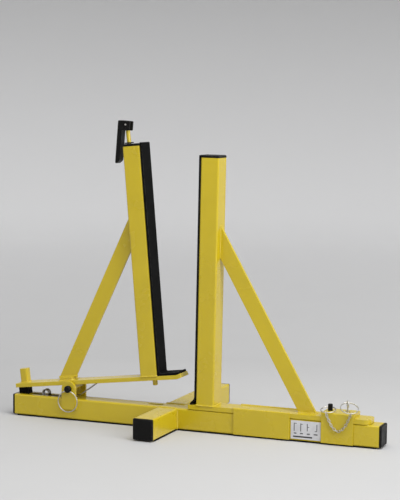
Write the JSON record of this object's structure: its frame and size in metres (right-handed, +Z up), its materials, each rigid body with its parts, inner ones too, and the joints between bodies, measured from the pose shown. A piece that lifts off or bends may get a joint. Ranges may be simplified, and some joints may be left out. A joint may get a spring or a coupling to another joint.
{
  "type": "self-clamping upright support stand",
  "caption": "Cross-shaped floor stand with a pivoting padded upright that tips under load against a sliding padded upright, tied by drop-in pins.",
  "frame": {"origin": "on the floor under the crossing of the main rail and the cross arms", "axes": "+X along the main rail towards the sliding jaw, +Z up, -Y towards the side with the label and the pull rings"},
  "size_m": [0.9435, 0.5, 0.7331],
  "materials": {
    "yellow_paint": "glossy enamel over steel tube and flat bar",
    "black_plastic": "satin black moulding",
    "black_rubber": "matt black sheet rubber",
    "bright_steel": "zinc plated",
    "dark_spring_steel": "oiled spring wire",
    "bronze": "plain sintered bush",
    "label_sheet": null
  },
  "bodies": {
    "base": {"main_rail": "yellow_paint", "cross_arm_front": "yellow_paint", "cross_arm_rear": "yellow_paint", "rail_cap_left": "black_plastic", "rail_cap_right": "black_plastic", "arm_cap_front": "black_plastic", "arm_cap_rear": "black_plastic", "rail_grip_strip": "black_rubber", "arm_grip_strip_front": "black_rubber", "arm_grip_strip_rear": "black_rubber", "pivot_ear_front": "yellow_paint", "pivot_ear_rear": "yellow_paint", "return_spring": "dark_spring_steel", "label_plate": "label_sheet"},
    "rocker": {"rocker_plate": "yellow_paint", "pivot_boss": "yellow_paint", "pivot_bushes": "bronze", "rocker_mast": "yellow_paint", "rocker_cap": "black_plastic", "rod_guide_top": "black_plastic", "brace_tab": "yellow_paint", "rocker_brace": "yellow_paint", "pedal_stub": "yellow_paint", "pedal_lid": "yellow_paint", "bumper": "black_rubber", "bumper_screw": "bright_steel", "rocker_pad": "black_rubber"},
    "lock_rod": {"lock_rod": "yellow_paint", "rod_tip": "yellow_paint", "lever_pin": "bright_steel"},
    "lock_lever": {"lock_lever": "black_plastic"},
    "pivot_pin": {"pivot_pin": "bright_steel", "pivot_pin_head": "black_plastic"},
    "pivot_pin_ring": {"pivot_pin_ring": "bright_steel"},
    "sliding_jaw": {"jaw_foot_plate": "yellow_paint", "slide_cheek_front": "yellow_paint", "slide_cheek_rear": "yellow_paint", "lock_saddle": "yellow_paint", "jaw_mast": "yellow_paint", "jaw_cap": "black_plastic", "jaw_pad": "black_rubber", "jaw_brace": "yellow_paint", "screw_eye": "bright_steel", "split_ring": "bright_steel", "pin_chain": "bright_steel"},
    "lock_pin": {"lock_pin": "bright_steel", "lock_pin_grip": "black_plastic"},
    "lock_pin_ring": {"lock_pin_ring": "bright_steel"}
  },
  "joints": [
    {"name": "rocker_tilt", "type": "hinge", "parent": "base", "child": "rocker", "pos_m": [-0.261, 0, 0.078], "axis": [0, 1, 0], "range_deg": [0, 10], "stiffness_Nm_per_rad": 20, "springref_deg": -34.38, "deforming": ["return_spring"]},
    {"name": "rod_drop", "type": "slide", "parent": "rocker", "child": "lock_rod", "axis": [0.1236, 0, -0.9923], "range_m": [0, 0.02]},
    {"name": "lever_swing", "type": "hinge", "parent": "lock_rod", "child": "lock_lever", "pos_m": [-0.12048, 0, 0.72332], "axis": [0, 1, 0], "range_deg": [0, 100]},
    {"name": "pivot_pin_pull", "type": "slide", "parent": "base", "child": "pivot_pin", "axis": [0, -1, 0], "range_m": [0, 0.072]},
    {"name": "pivot_ring_swing", "type": "hinge", "parent": "pivot_pin", "child": "pivot_pin_ring", "pos_m": [-0.261, -0.0355, 0.0735], "axis": [-1, 0, 0], "range_deg": [0, 120]},
    {"name": "jaw_slide", "type": "slide", "parent": "base", "child": "sliding_jaw", "axis": [1, 0, 0], "range_m": [-0.01, 0.04]},
    {"name": "lock_pin_lift", "type": "slide", "parent": "sliding_jaw", "child": "lock_pin", "axis": [0, 0, 1], "range_m": [0, 0.03], "deforming": ["pin_chain"]},
    {"name": "lock_ring_swing", "type": "hinge", "parent": "lock_pin", "child": "lock_pin_ring", "pos_m": [0.396, 0, 0.0836], "axis": [-1, 0, 0], "range_deg": [0, 100], "deforming": ["pin_chain"]}
  ]
}
